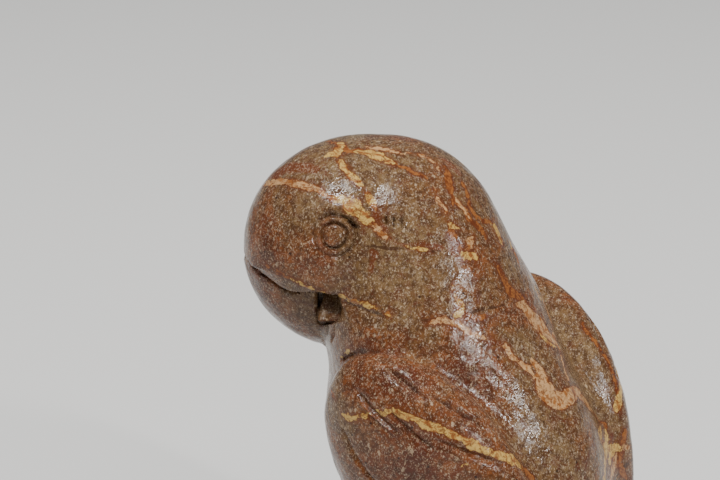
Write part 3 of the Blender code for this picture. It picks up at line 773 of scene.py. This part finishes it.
def marble(settings):
    """Red-brown marble, ground and polished by hand: pale ragged calcite grains crowd a rusty ground,
    cream to orange veins with rusty rims cross it, and the wax-like polish shows fine scratches."""
    mat = bpy.data.materials.new("polished_red_brown_marble")
    mat.use_nodes = True
    tree = mat.node_tree
    shader = tree.nodes["Principled BSDF"]
    place = node(tree, "TexCoord").outputs["Object"]

    def noise(per_metre, detail=4.0, rough=0.55, distort=0.0, vector=place, output="Fac"):
        values = {"Scale": per_metre, "Detail": detail, "Roughness": rough, "Distortion": distort}
        return node(tree, "TexNoise", {"Vector": vector}, values).outputs[output]

    def ramp(source, stops):
        n = node(tree, "ValToRGB", {"Fac": source})
        while len(n.color_ramp.elements) < len(stops):
            n.color_ramp.elements.new(0.5)
        for e, (at, colour) in zip(n.color_ramp.elements, stops):
            e.position = at
            e.color = linear(colour)
        return n.outputs["Color"]

    def fade(source, start, end):
        """1 where the source is below start, 0 above end."""
        return node(tree, "MapRange", {"Value": source},
                    {"From Min": start, "From Max": end, "To Min": 1.0, "To Max": 0.0},
                    interpolation_type="SMOOTHSTEP").outputs["Result"]

    def mix(factor, a, b):
        n = node(tree, "Mix", data_type="RGBA")
        for at, value in ((0, factor), (6, a), (7, b)):
            if isinstance(value, str):
                n.inputs[at].default_value = linear(value)
            else:
                tree.links.new(value, n.inputs[at])
        return n.outputs[2]

    def calc(operation, *values):
        n = node(tree, "Math", operation=operation)
        for at, value in enumerate(values):
            if isinstance(value, (int, float)):
                n.inputs[at].default_value = value
            else:
                tree.links.new(value, n.inputs[at])
        return n.outputs[0]

    def times(a, b):
        return calc("MULTIPLY", a, b)

    def stored(name):
        return node(tree, "Attribute", attribute_name=name).outputs["Fac"]

    def shaken(per_metre, amount, vector=place):
        """Coordinates shaken by noise, so that cells and lines come out ragged."""
        centred = node(tree, "VectorMath", {0: noise(per_metre, 2.0, output="Color")},
                       {1: (0.5, 0.5, 0.5)}, operation="SUBTRACT").outputs[0]
        return node(tree, "VectorMath", {0: centred, 2: vector}, {1: (amount,) * 3},
                    operation="MULTIPLY_ADD").outputs[0]

    # Ground: dark red, rusty brown and olive clouds 15 to 30 mm across, mottled at 2 mm
    cloud = noise(42.0, 3.0, 0.6)
    # The olive clouds pull the ground towards olive-grey; on the right wing this is partly painted sheen.
    cloud = calc("MULTIPLY_ADD", stored("cloud_olive"), 0.22, cloud)
    # The rust clouds pull the ground towards dark red; on the beak this is partly painted shade.
    cloud = calc("MULTIPLY_ADD", stored("cloud_rust"), -0.14, cloud)
    ground = ramp(cloud, ((0.30, settings.dark_red), (0.42, settings.rust), (0.54, settings.brown),
                          (0.68, settings.olive)))
    mottle = noise(480.0, 6.0, 0.7)
    ground = mix(times(fade(mottle, 0.40, 0.60), 0.75), ground, settings.dark_brown)
    rusty = noise(210.0, 5.0, 0.7)
    ground = mix(times(fade(rusty, 0.36, 0.50), 0.5), ground, settings.dark_red)
    red = calc("MULTIPLY_ADD", noise(260.0, 4.0, 0.7), 4.0, -2.0)
    red = fade(calc("ADD", stored("vein_rust"), red), -0.2, 0.8)
    ground = mix(times(red, 0.85), ground, settings.vein_rust)

    # Hairline cracks filled with rust
    crack = calc("ABSOLUTE", calc("SUBTRACT", noise(75.0, 5.0, 0.6, 0.8), 0.5))
    crack = times(fade(crack, 0.002, 0.006), fade(noise(60.0, 2.0), 0.46, 0.52))

    # Pale calcite grains: flecks of 0.3 and 0.5 mm nearly everywhere, a few of 1 mm, ragged, a little long
    long_way = node(tree, "Mapping", {"Vector": shaken(2200.0, 0.0010)},
                    {"Rotation": (0.6, 0.4, 0.2), "Scale": (1.0, 1.0, 0.60)}).outputs[0]
    crowd = noise(170.0, 4.0, 0.65)
    stone = ground
    relief = None
    for per_metre, share, spread, strength in ((3000.0, 0.34, 0.75, 0.70), (1900.0, -0.02, 0.75, 0.76),
                                               (1000.0, -0.14, 0.42, 0.78)):
        cells = node(tree, "TexVoronoi", {"Vector": long_way}, {"Scale": per_metre})
        lot = node(tree, "SeparateColor", {"Color": cells.outputs["Color"]})
        chosen = calc("LESS_THAN", lot.outputs["Red"], calc("MULTIPLY_ADD", crowd, spread, share))
        size = calc("MULTIPLY_ADD", lot.outputs["Green"], 0.30, 0.20)
        inside = fade(calc("SUBTRACT", cells.outputs["Distance"], size), -0.06, 0.08)
        shade = calc("MULTIPLY_ADD", lot.outputs["Blue"], strength * 0.7, strength * 0.3)
        amount = times(times(chosen, inside), shade)
        tint = mix(lot.outputs["Green"], settings.grain_grey, settings.grain_tan)
        stone = mix(amount, stone, tint)
        relief = amount if relief is None else calc("ADD", relief, amount)
    stone = mix(times(crack, 0.85), stone, settings.dark_red)

    # A few dark specks
    specks = node(tree, "TexVoronoi", {"Vector": place}, {"Scale": 560.0})
    lot = node(tree, "SeparateColor", {"Color": specks.outputs["Color"]})
    chosen = calc("LESS_THAN", lot.outputs["Red"], 0.05)
    speck = times(chosen, fade(specks.outputs["Distance"], 0.16, 0.22))
    stone = mix(times(speck, 0.85), stone, settings.speck)

    # Veins, from the stored distance to their edge in millimetres, made ragged at two scales
    ragged = calc("MULTIPLY_ADD", noise(190.0, 3.0, 0.6), 2.4, -1.2)
    ragged = calc("MULTIPLY_ADD", noise(700.0, 4.0, 0.7), 1.5, calc("SUBTRACT", ragged, 0.75))
    shards = node(tree, "TexVoronoi", {"Vector": shaken(500.0, 0.0012)}, {"Scale": 520.0})
    shard = node(tree, "SeparateColor", {"Color": shards.outputs["Color"]}).outputs["Red"]
    ragged = calc("MULTIPLY_ADD", shard, 0.6, calc("SUBTRACT", ragged, 0.30))
    streak = node(tree, "Mapping", {"Vector": shaken(300.0, 0.003)},
                  {"Rotation": (0.3, 0.8, 0.5), "Scale": (1.0, 0.35, 1.0)}).outputs[0]
    tint = noise(650.0, 4.0, 0.6, 0.0, streak)
    seam = calc("ABSOLUTE", calc("SUBTRACT", noise(330.0, 3.0, 0.6, 0.6, streak), 0.5))
    seam = fade(seam, 0.006, 0.022)
    patch = noise(260.0, 3.0)
    flaw = noise(1100.0, 5.0, 0.75)
    split = fade(calc("MULTIPLY_ADD", ragged, 0.3, stored("vein_crack")), 0.05, 0.25)
    stone = mix(times(split, 0.8), stone, settings.dark_brown)
    # The orange and cream veins also draw a painted highlight along the ridge of the face's lower edge.
    for name, rim, low, high in (("vein_orange", settings.dark_red, settings.vein_rust, settings.vein_orange),
                                 ("vein_peach", settings.vein_rust, settings.vein_orange, settings.vein_peach),
                                 ("vein_cream", settings.vein_rust, settings.vein_orange, settings.vein_cream)):
        edge = calc("ADD", stored(name), ragged)
        glow = times(fade(edge, 0.1, 1.5), times(fade(patch, 0.48, 0.60), 0.55))
        stone = mix(glow, stone, rim)
        stone = mix(times(fade(edge, 0.16, 0.34), fade(patch, 0.50, 0.62)), stone, rim)
        core = mix(fade(tint, 0.38, 0.52), high, low)
        core = mix(times(fade(flaw, 0.38, 0.50), 0.55), core, settings.vein_rust)
        core = mix(times(seam, 0.75), core, settings.vein_rust)
        stone = mix(fade(edge, -0.02, 0.12), stone, core)
    tree.links.new(stone, shader.inputs["Base Color"])

    # Polish: glossy with slow changes, fine parallel scratches, and grains that stand a hair proud
    uneven = fade(noise(300.0, 5.0, 0.7), 0.42, 0.60)
    tree.links.new(calc("MULTIPLY_ADD", uneven, 0.16, settings.roughness), shader.inputs["Roughness"])
    shader.inputs["IOR"].default_value = 1.5
    shader.inputs["Specular IOR Level"].default_value = 0.24
    scratched = []
    for turn, scale in (((0.5, 0.9, 0.3), (1.0, 14.0, 14.0)), ((1.3, 0.2, 1.1), (14.0, 1.0, 14.0))):
        way = node(tree, "Mapping", {"Vector": place}, {"Rotation": turn, "Scale": scale}).outputs[0]
        scratched.append(noise(130.0, 3.0, 0.6, 0.0, way))
    height = calc("ADD", scratched[0], scratched[1])
    height = calc("MULTIPLY_ADD", relief, 0.25, height)
    fine = node(tree, "Bump", {"Height": height}, {"Strength": 0.5, "Distance": 0.00006})
    wobble = noise(110.0, 5.0, 0.55)
    broad = node(tree, "Bump", {"Height": wobble, "Normal": fine.outputs[0]},
                 {"Strength": 0.6, "Distance": 0.0016})
    tree.links.new(broad.outputs[0], shader.inputs["Normal"])
    return mat


# Settings

def tone(name, description, default):
    """A colour setting, as sRGB hex."""
    return bpy.props.StringProperty(name=name, description=description, default=default)


def number(name, description, default, **more):
    return bpy.props.FloatProperty(name=name, description=description, default=default, **more)


class ParrotCuts(bpy.types.PropertyGroup):
    """Sizes of the carved detail."""
    mesh_size: number("Mesh size", "Edge length of the working mesh, in design units", 1.33, min=0.5, max=3.0)
    eye_size: number("Eye size", "Outer diameter of the carved eye ring", 0.0106, unit="LENGTH")
    eye_relief: number("Eye relief", "Depth of the grooves round the eye", 0.0005, unit="LENGTH")
    stroke_width: number("Stroke width", "Half width of a feather stroke", 0.0018, unit="LENGTH")
    stroke_depth: number("Stroke depth", "Depth of a feather stroke", 0.0011, unit="LENGTH")
    vein_width: number("Vein width", "Factor on the width of every vein", 1.25, subtype="FACTOR")


class ParrotMarble(bpy.types.PropertyGroup):
    """Colours and gloss of the marble, as sRGB hex."""
    rust: tone("Rust ground", "Rusty part of the ground", "#673b1f")
    brown: tone("Brown ground", "Brown part of the ground", "#5a4026")
    dark_red: tone("Dark red", "Dark red clouds and cracks", "#4a2416")
    olive: tone("Olive grey", "Olive-grey clouds", "#644e33")
    dark_brown: tone("Dark brown", "Fine dark mottling", "#362014")
    grain_grey: tone("Grey grains", "Greyer calcite grains", "#8a7c72")
    grain_tan: tone("Tan grains", "Warmer calcite grains", "#a08a6e")
    vein_cream: tone("Cream vein", "Yellow-cream veins", "#a9894b")
    vein_peach: tone("Peach vein", "Peach veins", "#a37f57")
    vein_orange: tone("Orange vein", "Orange veins", "#7b4c26")
    vein_rust: tone("Rust rim", "Rusty rims of the veins", "#532915")
    speck: tone("Specks", "Small dark specks", "#231815")
    roughness: number("Roughness", "Roughness where the polish is best", 0.09, subtype="FACTOR")


class ParrotStage(bpy.types.PropertyGroup):
    """Floor, lights and camera."""
    floor_colour: tone("Floor", "Colour of the floor", "#c4c3c0")
    fill_colour: tone("Fill colour", "Colour of the even light", "#eef0f4")
    azimuth: number("Azimuth", "Camera direction round the bird, 0 from the front", math.radians(125.0),
                    subtype="ANGLE")
    elevation: number("Elevation", "Camera height angle", math.radians(20.0), subtype="ANGLE")
    distance: number("Distance", "Camera to the head", 0.4845, unit="LENGTH")
    lens: number("Lens", "Focal length on a 36 mm sensor", 85.0, min=10.0)
    key: number("Key light", "Power of the main soft light", 13.9, min=0.0)
    fill: number("Fill", "Strength of the even light", 0.22, min=0.0)


# Stage, in metres and degrees. Lights: name, azimuth, elevation, distance, size, share of the key light's power
LIGHTS = (("ceiling", 120.0, 82.0, 2.4, (3.0, 3.0), 9.3),
          ("window", 176.0, 27.0, 1.3, (0.06, 0.13), 0.55),
          ("lamp", 84.0, 60.0, 1.2, (0.17, 0.05), 0.60))
LIT_PLACE = (0.0, -0.01, 0.12)
CAMERA_AIM = (0.005951, -0.038564, 0.137197)
FLOOR_HALF_SIZE, FLOOR_GAP = 15.0, 0.0002


def set_up(context, name, data, aim, azimuth, elevation, distance):
    """Put a lamp or the camera at a distance from what it faces. Azimuth 0 is in front of the bird."""
    back = Vector((math.sin(azimuth) * math.cos(elevation), -math.cos(azimuth) * math.cos(elevation),
                   math.sin(elevation)))
    thing = bpy.data.objects.new(name, data)
    thing.location = Vector(aim) + back * distance
    thing.rotation_euler = back.to_track_quat("Z", "Y").to_euler()
    context.scene.collection.objects.link(thing)
    return thing


# Operators

class PARROT_OT_carving(bpy.types.Operator):
    """Make the carved marble parrot with its base"""
    bl_idname = "parrot.carving"
    bl_label = "Marble parrot"

    def execute(self, context):
        cuts = context.scene.parrot_cuts
        piece = bpy.data.objects.new("marble_parrot", rough_masses())
        context.scene.collection.objects.link(piece)
        with_modifier(piece, "REMESH", mode="VOXEL", voxel_size=cuts.mesh_size)
        settle(piece.data, 5)
        relax(piece.data, 2)
        with_modifier(piece, "REMESH", mode="VOXEL", voxel_size=0.96 * cuts.mesh_size)
        settle(piece.data, 2)
        relax(piece.data, 3)
        settle(piece.data, 2)
        for operation, tool in (("DIFFERENCE", beak_corner(1)), ("DIFFERENCE", beak_corner(-1)),
                                ("UNION", lower_beak())):
            context.scene.collection.objects.link(tool)
            with_modifier(piece, "BOOLEAN", operation=operation, solver="EXACT", object=tool)
            bpy.data.objects.remove(tool, do_unlink=True)
        if len(piece.data.polygons) < LEAST_FACES:
            raise RuntimeError("cutting the beak's corner lost the carving")
        lines, veins = tool_lines(cuts), laid_veins(cuts)
        finer(piece.data, cuts, lines, veins)
        settle(piece.data, 3, band=0.45)
        carve(piece.data, cuts, lines)
        flat_underside(piece.data)
        store_colours(piece.data, veins)
        piece.data.name = "marble_parrot"
        piece.data.shade_smooth()
        piece.data.set_sharp_from_angle(angle=math.radians(50))
        piece.data.materials.clear()
        piece.data.materials.append(marble(context.scene.parrot_marble))
        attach(piece, "root")
        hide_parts(NODE)
        return {"FINISHED"}


class PARROT_OT_stage(bpy.types.Operator):
    """Make the floor, the lights and the camera"""
    bl_idname = "parrot.stage"
    bl_label = "Stage"

    def execute(self, context):
        stage = context.scene.parrot_stage
        bm = bmesh.new()
        bmesh.ops.create_grid(bm, x_segments=1, y_segments=1, size=FLOOR_HALF_SIZE)
        floor = bpy.data.objects.new("floor", mesh_from(bm, "floor"))
        floor.location.z = -FLOOR_GAP
        context.scene.collection.objects.link(floor)
        mat = bpy.data.materials.new("matt_white_floor")
        mat.use_nodes = True
        shader = mat.node_tree.nodes["Principled BSDF"]
        shader.inputs["Base Color"].default_value = linear(stage.floor_colour)
        shader.inputs["Roughness"].default_value = 0.85
        floor.data.materials.append(mat)

        world = bpy.data.worlds.new("even_light")
        world.use_nodes = True
        background = world.node_tree.nodes["Background"]
        background.inputs["Color"].default_value = linear(stage.fill_colour)
        background.inputs["Strength"].default_value = stage.fill
        context.scene.world = world

        for name, azimuth, elevation, distance, size, power in LIGHTS:
            light = bpy.data.lights.new(name, "AREA")
            light.shape = "RECTANGLE"
            light.size, light.size_y = size
            light.energy = stage.key * power
            lamp = set_up(context, name, light, LIT_PLACE, math.radians(azimuth), math.radians(elevation), distance)
            lamp.visible_glossy = name != "ceiling"

        lens = bpy.data.cameras.new("camera")
        lens.lens = stage.lens
        lens.sensor_width = 36.0
        lens.clip_start = 0.01
        context.scene.camera = set_up(context, "camera", lens, CAMERA_AIM, stage.azimuth, stage.elevation,
                                      stage.distance)
        return {"FINISHED"}


class PARROT_PT_panel(bpy.types.Panel):
    """Carving, marble and stage"""
    bl_idname = "PARROT_PT_panel"
    bl_label = "Marble parrot"
    bl_space_type = "VIEW_3D"
    bl_region_type = "UI"
    bl_category = "Parrot"

    def draw(self, context):
        for group in ("parrot_cuts", "parrot_marble", "parrot_stage"):
            settings = getattr(context.scene, group)
            box = self.layout.box()
            for name in settings.bl_rna.properties.keys():
                if name not in ("rna_type", "name"):
                    box.prop(settings, name)
        for operator in (PARROT_OT_carving, PARROT_OT_stage):
            self.layout.operator(operator.bl_idname)


GROUPS = {"parrot_cuts": ParrotCuts, "parrot_marble": ParrotMarble, "parrot_stage": ParrotStage}
CLASSES = (*GROUPS.values(), PARROT_OT_carving, PARROT_OT_stage, PARROT_PT_panel)


def register():
    for cls in CLASSES:
        bpy.utils.register_class(cls)
    for name, group in GROUPS.items():
        setattr(bpy.types.Scene, name, bpy.props.PointerProperty(type=group))


def unregister():
    for name in GROUPS:
        delattr(bpy.types.Scene, name)
    for cls in reversed(CLASSES):
        bpy.utils.unregister_class(cls)


def main():
    register()
    bpy.ops.parrot.carving()
    bpy.ops.parrot.stage()


if __name__ == "__main__":
    main()
